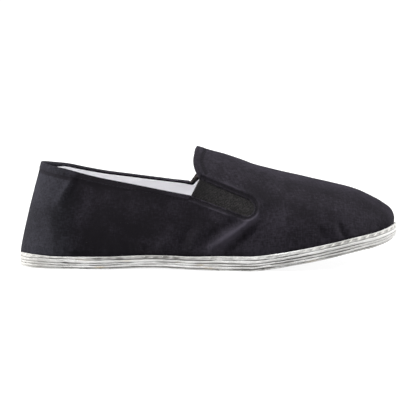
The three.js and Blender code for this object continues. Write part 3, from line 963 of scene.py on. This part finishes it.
# The elastic panels under the slots
def elasticPanel(name, side, node):
    inSide = (lambda a: a < math.pi) if side == "outer" else (lambda a: a > math.pi)
    bm = cutSheet(lambda a, b: np.where(inSide(a), slotDistance(a, b), -20), ())
    sweep, share = parameters(bm)
    lower, upper, axis, across = mouthCorners(side)
    p = surfacePoint(sweep, share, 0.0)[:, [0, 2]] - lower
    mouth = upper - lower
    depth = np.abs(p[:, 0] * mouth[1] - p[:, 1] * mouth[0]) / np.hypot(*mouth)
    hem = 0.35 * (1 - smoothStep(depth, 2.6, 3.4)) - 0.25 * (1 - smoothStep(depth, 0, 0.7))
    sheetPlace(bm, cloth["elasticInset"], lambda a, b: hem * 0.5)
    storeValue(bm, "mouthDepth", depth + (2.4 if side == "outer" else 0))
    bm.verts.index_update()
    storeUv(bm, lambda v: (float(p[v.index] @ axis) / 1000, float(p[v.index] @ across) * 1.25 / 1000))
    bmesh.ops.recalc_face_normals(bm, faces=bm.faces[:])
    if sum(f.normal.y * f.calc_area() for f in bm.faces) * (1 if side == "outer" else -1) > 0:
        bmesh.ops.reverse_faces(bm, faces=bm.faces[:])
    panel = makePiece(name, bm, elasticKnit, [node])
    thicken(panel, cloth["elasticThickness"])


elasticPanel("outerElastic", "outer", "gore_outer")
elasticPanel("innerElastic", "inner", "gore_inner")
print("upper, lining and elastic done")


# Sewing threads, laid on the finished cloth
stitching = {"pitch": 2.7, "length": 1.15, "width": 0.27, "thickness": 0.16}


def addStitch(bm, tree, start, end, length, width, thickness, sink=0.0):
    centre = (start + end) / 2
    found = tree.find_nearest(centre)
    if found[0] is None:
        return
    normal = found[1]
    along = (end - start).normalized()
    along = (along - normal * along.dot(normal)).normalized()
    across = normal.cross(along)
    frameAxes = Matrix((along, across, normal)).transposed().to_4x4()
    size = Matrix.Diagonal((length / 1000, width / 1000, thickness / 1000, 1))
    centred = Matrix.Translation(found[0] - normal * sink / 1000)
    matrix = centred @ frameAxes @ size @ Matrix.Rotation(math.pi / 2, 4, "Y")
    bmesh.ops.create_uvsphere(bm, u_segments=6, v_segments=5, radius=1, matrix=matrix)


def solveLine(measure, wanted, start, end):  # where the measure takes a value between two places on the last
    low = findCrossing(lambda a, b: measure(a, b) - wanted, start, end, 18)[0]
    p = start + (end - start) * low[:, None]
    return [Vector(q) for q in toFrame(surfacePoint(p[:, 0], p[:, 1], 0.0))]


def alongPath(points, pitch):  # evenly spaced places along a path
    travel = [0.0]
    for a, b in zip(points[:-1], points[1:]):
        travel.append(travel[-1] + (b - a).length)
    flat = np.array([tuple(p) for p in points])
    count = max(2, round(travel[-1] / (pitch / 1000)))
    places = np.linspace(0, travel[-1], count + 1)
    return [Vector(row) for row in np.stack([np.interp(places, travel, flat[:, k]) for k in range(3)], -1)]


def sewRow(bm, points, gapShare=0.14):
    spaced = alongPath(points, stitching["pitch"])
    for a, b in zip(spaced[:-1], spaced[1:]):
        step = (b - a) * gapShare
        addStitch(bm, upperTree, a + step, b - step, stitching["length"], stitching["width"], stitching["thickness"])


def seenFrom(side, x, z):  # the place on the finished cloth, looking straight at one side
    sign = -1 if side == "outer" else 1
    return upperTree.ray_cast(Vector(toFrame(np.array([x, sign * 120.0, z]))), Vector((0, -sign, 0)))[0]


def throatSweep(side, offset):
    x = mouthCorners(side)[0][0] - offset
    return math.acos(1 - 2 * x / last["soleLength"])


bm = bmesh.new()
collarSweeps = np.mod(np.linspace(-throatSweep("inner", 4), throatSweep("outer", 4), 260), fullTurn)
starts, ends = (np.stack([collarSweeps, np.full(260, share)], -1) for share in (0.25, 0.985))
sewRow(bm, solveLine(bridgedDistance, cloth["collarHem"], starts, ends))
# the tongue's own hem, over the top from one corner to the other
shares = np.concatenate([np.linspace(0.55, 1.0, 60), np.linspace(1.0, 0.55, 60)[1:]])
outwards = np.arange(len(shares)) < 60
starts, ends = (np.stack([np.where(outwards, sweep, fullTurn - sweep), shares], -1) for sweep in (1.85, 1.15))
hemLine = solveLine(bridgedDistance, cloth["tongueHem"], starts, ends)
cornerHeights = [mouthCorners(side)[1][1] / 1000 for side in ("outer", "inner")]
hemLine = [p for p, isOuter in zip(hemLine, outwards) if p.z > cornerHeights[0 if isOuter else 1] + 0.0035]
sewRow(bm, hemLine)
# round each slot, a few millimetres outside its edge
for side in ("outer", "inner"):
    route = slotPath(side, cloth["slotHem"])
    route[0] += mouthCorners(side)[2] * 3.0
    route[-1] += mouthCorners(side)[2] * 5.5
    found = [seenFrom(side, x, z) for x, z in route]
    sewRow(bm, [p for p in found if p is not None])
# short bars of thread at the back of the collar
halfBar = Vector((0, 0, 0.001))
for x, z in ((34, 68.5), (39, 67.0)):
    for side in ("outer", "inner"):
        place = seenFrom(side, x, z)
        for k in range(5):
            centre = place + Vector(((k - 2) * 0.00035, 0, 0))
            addStitch(bm, upperTree, centre - halfBar, centre + halfBar, 1.3, 0.2, 0.2)
makePiece("sewingThreads", bm, blackThread)


# The sole: five wavy cloth layers, each a closed band whose section runs up the edge and across
soleStack = {
    "columns": 380, "edgeRows": 9, "acrossRows": 5,
    "levels": [0.0, 1.35, 3.2, 5.05, 7.3, 10.12],
    "insets": [0.75, 0.2, 0.35, 0.15, 0.05],
    "toeTuck": [1.2, -0.2, -0.9, -1.0, -0.6], "heelTuck": [0.5, 0.1, 0.0, 0.0, 0.3],
    "wave": 0.26, "edgeWave": 0.3, "stitchStart": 3.0, "stitchPitch": 6.9,
}


def waver(place, seed, size):  # soft wandering along the outline
    seeds = np.broadcast_to(seed, place.shape)
    return np.array([noise.noise(Vector((p / size, s * 7.3, 0.5))) for p, s in zip(place, seeds)])


outlineTravel = np.concatenate([[0], np.cumsum(np.hypot(np.diff(outlineXs), np.diff(outlineYs)))])


def rimStitches():  # places along the outline, with the pitch of a hand-sewn row
    rng = random.Random(5)
    place, places = soleStack["stitchStart"], []
    while place < outlineTravel[-1] - soleStack["stitchStart"]:
        places.append(place)
        place += soleStack["stitchPitch"] + rng.uniform(-0.7, 0.7)
    return places


stitchPlaces = rimStitches()


# grey marks on the sole's outer edge: x, level, half length, half height, strength
soleMarks = [
    (58, 8.7, 3.5, 1.0, 0.9), (66, 8.4, 2.2, 0.9, 0.7), (74, 8.2, 3.2, 0.8, 0.9), (84, 8.9, 3.0, 0.8, 0.4),
    (92, 8.7, 2.6, 0.9, 0.85), (100, 8.3, 2.4, 0.9, 0.9), (107, 9.0, 3.2, 0.9, 1.0), (115, 8.4, 2.8, 1.0, 1.0),
    (126, 8.6, 3.2, 1.0, 0.6), (138, 8.8, 4.0, 1.0, 0.45), (152, 8.5, 3.0, 1.0, 0.5), (92, 8.8, 50, 2.4, 0.85),
    (96, 3.4, 5.0, 0.9, 0.6), (104, 4.4, 5.5, 1.2, 0.55), (110, 1.0, 8.0, 0.8, 0.7), (88, 1.6, 6.0, 0.6, 0.6),
    (132, 4.0, 4.0, 1.2, 0.45), (66, 1.2, 9.0, 0.6, 0.5), (165, 1.4, 12.0, 0.8, 0.8), (190, 3.0, 9.0, 1.0, 0.8),
    (166, 3.4, 10.0, 0.9, 0.9), (178, 1.6, 9.0, 0.8, 0.9), (216, 4.8, 14.0, 0.7, 0.8), (236, 3.2, 14.0, 0.7, 0.8),
    (150, 5.2, 14.0, 0.6, 0.6),
    (200, 5.1, 30.0, 0.45, 0.9), (238, 5.0, 18.0, 0.4, 0.8), (206, 4.4, 7.0, 1.2, 0.5), (40, 4.3, 4.0, 0.8, 0.8),
    (32, 8.2, 9.0, 0.7, 0.6), (222, 2.0, 10.0, 1.0, 0.55),
]


# Beige stains: x, height in the stack, half length, half height, strength
soleStains = [
    (59.6, 1.8, 3.4, 0.7, 1.0), (132, 3.9, 3.0, 0.6, 0.7), (138, 1.8, 3.4, 0.6, 0.8), (48, 7.4, 6.0, 0.5, 0.5),
    (78, 6.3, 5.0, 0.4, 0.5), (116, 5.2, 3.0, 0.4, 0.5), (212, 1.0, 5.0, 0.5, 0.5),
]


def soleLayer(name, index, material, node):
    edge, across = soleStack["edgeRows"], soleStack["acrossRows"]
    around = 2 * edge + 2 * across
    columns = soleStack["columns"]
    rimIndex, upperIndex = 4, 3
    levels = soleStack["levels"]
    bm = bmeshGrid(columns, around)
    half = np.interp(np.linspace(0, outlineTravel[360], columns + 1), outlineTravel[:361], tableSweeps[:361])
    column = np.array([round((v.co.x + 1) / 2 * columns) for v in bm.verts])
    row = np.array([round((v.co.y + 1) / 2 * around) for v in bm.verts]) % around
    # up the outer edge, across the top, down the inner edge, back across the bottom
    outerEdge = row <= edge
    topFace = (row > edge) & (row < edge + across)
    innerEdge = (row >= edge + across) & (row <= 2 * edge + across)
    parts = [outerEdge, topFace, innerEdge]
    t = np.select(parts, [row / edge, np.ones(len(row)), 1 - (row - edge - across) / edge], 0.0)
    crossing = np.select(parts, [0.0, (row - edge) / across, 1.0], 1 - (row - 2 * edge - across) / across)
    sweep = half[column]
    travelOuter = np.interp(sweep, tableSweeps, outlineTravel)
    travelInner = np.interp(fullTurn - sweep, tableSweeps, outlineTravel)
    travel = np.where(crossing > 0.5, travelInner, travelOuter)
    onEdge = outerEdge | innerEdge
    outlineX = last["soleLength"] * (1 - np.cos(sweep)) / 2
    # the heel and toe columns are shared, so what varies along the edge closes there
    closing = smoothStep(sweep, 0.0, 0.10) * (1 - smoothStep(sweep, math.pi - 0.10, math.pi))
    waveLow, waveHigh = (soleStack["wave"] * (waver(travel, k, 17) + 0.6 * waver(travel, k + 31, 5.5)) * closing * used
                         for k, used in ((index, index > 0), (index + 1, index < rimIndex)))
    waveLow = waveLow + (0.12 * waver(travel, 60, 9) * closing if index == 0 else 0)
    thinRim = 1.15 * smoothStep(outlineX, 8, 20) * (1 - smoothStep(outlineX, 40, 56))  # the rim is thinner by the heel
    waveLow = waveLow + (thinRim if index == rimIndex else 0)
    waveHigh = waveHigh + (thinRim if index == upperIndex else 0)
    edgeWave = soleStack["edgeWave"] * (waver(travel, index + 50, 24) + 0.5 * waver(travel, index + 70, 6)) * closing
    thick = levels[index + 1] - levels[index]
    roundness = min(0.62, thick * 0.36)
    profile = roundness * (1 - (1 - np.abs(2 * t - 1) ** 2.6) ** (1 / 2.6))
    tuck = soleStack["toeTuck"][index] * smoothStep(outlineX, 252, 273.5)
    tuck = tuck + soleStack["heelTuck"][index] * (1 - smoothStep(outlineX, 1, 14))
    inset = soleStack["insets"][index] + tuck + edgeWave + np.where(onEdge, profile, roundness)
    low = levels[index] + waveLow + (0.04 if index else 0.0)
    high = levels[index + 1] + waveHigh - 0.04
    dent = np.zeros(len(row))
    hollow = np.zeros(len(row))
    if index == rimIndex:  # hollows between the slanted stitches, deepest where each thread goes in
        for place in stitchPlaces:
            along = travel - place - 3.4 - (t - 0.5) * 1.8
            hollow = np.maximum(hollow, bell(along, 2.2, 3))
            # the dent colour is painted shade in these hollows, darkest at each thread's hole
            dent = np.maximum(dent, 0.62 * bell(along, 2.3, 3) * bell(t - 0.5, 0.34))
            dent = np.maximum(dent, 1.2 * bell(along - 1.4, 1.0) * bell(t - 0.42, 0.24))
        strong = 0.25 + 1.1 * smoothStep(outlineX, 195, 225) + 0.6 * bell(outlineX - 100, 28)
        dent *= np.where(onEdge, 1, 0) * closing * np.clip(strong + 0.35 * waver(travel, 140, 20), 0, 1.3)
        inset = inset + hollow * np.where(onEdge, 0.4 * bell(t - 0.5, 0.4), 0) * closing
    # two layers part for a few millimetres near the heel
    pinch = bell(travelOuter - 52, 4.0) * (crossing < 0.5)
    low = low + (0.32 * pinch if index == upperIndex else 0)
    high = high - (0.30 * pinch if index == 2 else 0)
    outerX, outerY = planPoint(sweep, inset)
    innerX, innerY = planPoint(fullTurn - sweep, inset)
    x = outerX + (innerX - outerX) * crossing
    y = outerY + (innerY - outerY) * crossing
    z = stackHeight(x, low + (high - low) * t)
    if index == 0:
        z = np.maximum(z, 0.0)
    ends = smoothStep(outlineX, 3, 30) * (1 - 0.7 * smoothStep(outlineX, 250, 272))
    reach = 0.72 + 1.1 * waver(travel, index + 90 + np.round(t), 15) + 0.6 * waver(travel, index + 120 + np.round(t), 4)
    reach = np.clip(reach, 0.06, 1.5) * (0.12 + 0.88 * ends)
    level = levels[index] + thick * t
    marks = np.zeros(len(row))
    spots = np.zeros(len(row))
    for markX, markLevel, halfLength, halfHeight, strength in soleMarks:
        spot = bell(outlineX - markX, halfLength, 4) * bell(level - markLevel, halfHeight)
        if markLevel > 8 and halfLength < 5:
            spots = np.maximum(spots, (strength - 0.3) * spot)
        marks = np.maximum(marks, strength * spot * (crossing < 0.5))
        marks = np.maximum(marks, 0.7 * strength * np.roll(spot, 7 * around) * (crossing > 0.5))
    reach = reach * (0.7 if index == upperIndex else 1) + 0.8 * marks
    # gapShade is painted shade with grime in the grooves between the plies; the rim's dark spots are added to it
    gapShade = smoothStep(np.abs(2 * t - 1), 1.0 - 0.55 * np.clip(reach, 0.1, 1.1), 0.94) * np.clip(reach, 0, 1)
    gapShade = np.where(onEdge, gapShade, 1.0)
    if index == 0:
        gapShade = np.where(t < 0.5, 0.15 * gapShade, gapShade)
    if index == rimIndex:
        gapShade = np.where(t > 0.5, 0.35 * gapShade, gapShade)
    movePoints(bm, np.stack([x, y, z], -1))
    storeValue(bm, "gap", np.maximum(gapShade * 0.85, spots * onEdge))
    storeValue(bm, "dent", dent)
    dirt = 0.25 * np.clip(0.4 + waver(travel, 200 + index, 11), 0, 1)
    dirt = np.maximum(dirt, 1.0 * (1 - smoothStep(outlineX, 6, 56)) + 0.6 * smoothStep(outlineX, 195, 238))
    if index == 0:
        dirt = dirt + 0.3 * smoothStep(outlineX, 40, 80)
    if index == upperIndex:
        dirt = dirt * (1 - 0.4 * smoothStep(outlineX, 20, 60))
    storeValue(bm, "dirt", np.maximum(dirt, marks) * onEdge)
    storeValue(bm, "crisp", 0.15 + 0.85 * smoothStep(outlineX, 10, 46) * (1 - 0.7 * smoothStep(outlineX, 236, 262)))
    stains = sum(strength * bell(outlineX - stainX, halfLength) * bell(level - stainLevel, halfHeight)
                 for stainX, stainLevel, halfLength, halfHeight, strength in soleStains)
    storeValue(bm, "stain", stains * onEdge)
    bm.verts.index_update()
    storeUv(bm, lambda v: (float(travel[v.index]) / 1000, float(t[v.index])))
    joinDoubles(bm)
    return makePiece(name, bm, material, [node])


soleMiddle = soleMaterial("pressedCottonLayers", 1.15, 0.55)
soleRim = soleMaterial("stitchedCottonRim", 0.87, 0.7)
soleGround = soleMaterial("groundCotton", 0.8, 1.0)
soleLayer("outsoleCloth", 0, soleGround, "outsole")
soleLayer("soleLayerLower", 1, soleMiddle, "sole_layer_lower")
soleLayer("soleLayerMiddle", 2, soleMiddle, "sole_layer_middle")
soleLayer("soleLayerUpper", 3, soleMiddle, "sole_layer_upper")
rim = soleLayer("stitchedRim", 4, soleRim, "sole_rim")

# slanted threads in the rim's dents
bm = bmesh.new()
rimBm = bmesh.new()
rimBm.from_mesh(rim.data)
rimTree = BVHTree.FromBMesh(rimBm)
rimBm.free()
for place in stitchPlaces:
    sweepHere = np.interp(place + np.array([-1.5, 1.5]), outlineTravel, tableSweeps)
    x, y = planPoint(sweepHere, 0.3)
    z = stackHeight(x, np.array([7.9, 9.5]))
    a, b = (Vector(p) for p in toFrame(np.stack([x, y, z], -1)))
    # pressed flat and sunk along the waist, fuller round the toe
    full = float(smoothStep(np.array(x[0]), 190, 222))
    addStitch(bm, rimTree, a, b, 1.5 + 0.4 * full, 0.36 + 0.06 * full, 0.18 + 0.08 * full, sink=0.16 - 0.12 * full)
makePiece("rimThreads", bm, soledThread)
print("sole done")


# The insole, cut a little smaller than the wall's inside
insole = {"columns": 220, "rows": 26, "margin": 2.55, "top": 2.1, "thickness": 2.0}


def insoleSheet():
    columns = insole["columns"]
    bm = bmeshGrid(columns, insole["rows"])
    half = evenSweeps(2 * columns)[:columns + 1]
    sweep = np.array([half[round((v.co.x + 1) / 2 * columns)] for v in bm.verts])
    crossing = np.array([(v.co.y + 1) / 2 for v in bm.verts])
    inset = last["featherMargin"] + insole["margin"]
    outerX, outerY = planPoint(sweep, inset)
    innerX, innerY = planPoint(fullTurn - sweep, inset)
    x = outerX + (innerX - outerX) * crossing
    y = outerY + (innerY - outerY) * crossing
    edge = np.minimum(crossing, 1 - crossing) * np.hypot(innerX - outerX, innerY - outerY)
    soft = unevenness(np.stack([x, y, 0 * x], -1), 26, (0, 0, 9))
    z = stackHeight(x, last["seatHeight"] + insole["top"]) + 0.25 * soft - 0.5 * bell(edge, 1.2)
    movePoints(bm, np.stack([x, y, z], -1))
    storeUv(bm, lambda v: v.co[:2])
    joinDoubles(bm)
    if sum(f.normal.z for f in bm.faces) < 0:
        bmesh.ops.reverse_faces(bm, faces=bm.faces[:])
    piece = makePiece("clothInsole", bm, insoleCloth, ["insole"])
    thicken(piece, insole["thickness"])


insoleSheet()
print("insole done")


# Studio: pale floor, soft light and the photograph's low side view
studio = {
    "floor": (0.16, 0.16, 0.161, 1), "grain": (0.8, 0.8, 0.8, 1),
    "glow": 0.86, "overhead": 5.2, "heel": 7.6, "toe": 4.2, "fill": 0.2, "backdrop": 1.1,
}


def floorMaterial():
    material, tree, place = startMaterial("paleFloor")
    grain = noiseAt(place, 40, 4)
    shader = tree.nodes["Principled BSDF"]
    feed(shader.inputs["Emission Color"], (1, 1, 1, 1))  # a lit table, for a faint shadow
    feed(shader.inputs["Emission Strength"], studio["glow"])
    colour = mixColour(grain * 0.04, studio["floor"], studio["grain"])
    return finishMaterial(material, colour, None, 0.9, 0.1)


bm = bmesh.new()
bmesh.ops.create_grid(bm, x_segments=4, y_segments=4, size=6)
floorMesh = bpy.data.meshes.new("floor")
bm.to_mesh(floorMesh)
bm.free()
floor = bpy.data.objects.new("floor", floorMesh)
bpy.context.scene.collection.objects.link(floor)
floorMesh.materials.append(floorMaterial())


def addSun(name, strength, spread, fromPlace):
    lamp = bpy.data.lights.new(name, "SUN")
    lamp.energy = strength
    lamp.angle = math.radians(spread)
    light = bpy.data.objects.new(name, lamp)
    light.rotation_euler = Vector(fromPlace).to_track_quat("Z", "Y").to_euler()
    bpy.context.scene.collection.objects.link(light)


addSun("overheadSoftbox", studio["overhead"], 50, (-0.1, 0.05, 1))
addSun("heelSoftbox", studio["heel"], 30, (-1, 0, 0.36))
addSun("toeSoftbox", studio["toe"], 40, (1, 0, 0.5))

world = bpy.data.worlds.new("studio")
bpy.context.scene.world = world
world.use_nodes = True
worldTree = world.node_tree
background = worldTree.nodes["Background"]
background.inputs["Color"].default_value = (1, 1, 1, 1)
seen = Field(addNode(worldTree, "ShaderNodeLightPath").outputs["Is Camera Ray"])
feed(background.inputs["Strength"], seen * (studio["backdrop"] - studio["fill"]) + studio["fill"])
bpy.context.scene.view_settings.view_transform = "Standard"

camera = {"elevation": 6.5, "range": 1.7, "aimHeight": 0.0414, "lens": 201.15}
lens = bpy.data.cameras.new("camera")
lens.lens = camera["lens"]
lens.sensor_width = 36
lens.clip_start = 0.05
eye = bpy.data.objects.new("camera", lens)
rise = math.radians(camera["elevation"])
eye.location = (0, -camera["range"] * math.cos(rise), camera["range"] * math.sin(rise))
aim = Vector((0, 0, camera["aimHeight"])) - eye.location
eye.rotation_euler = aim.to_track_quat("-Z", "Y").to_euler()
bpy.context.scene.collection.objects.link(eye)
bpy.context.scene.camera = eye
print("studio ready")
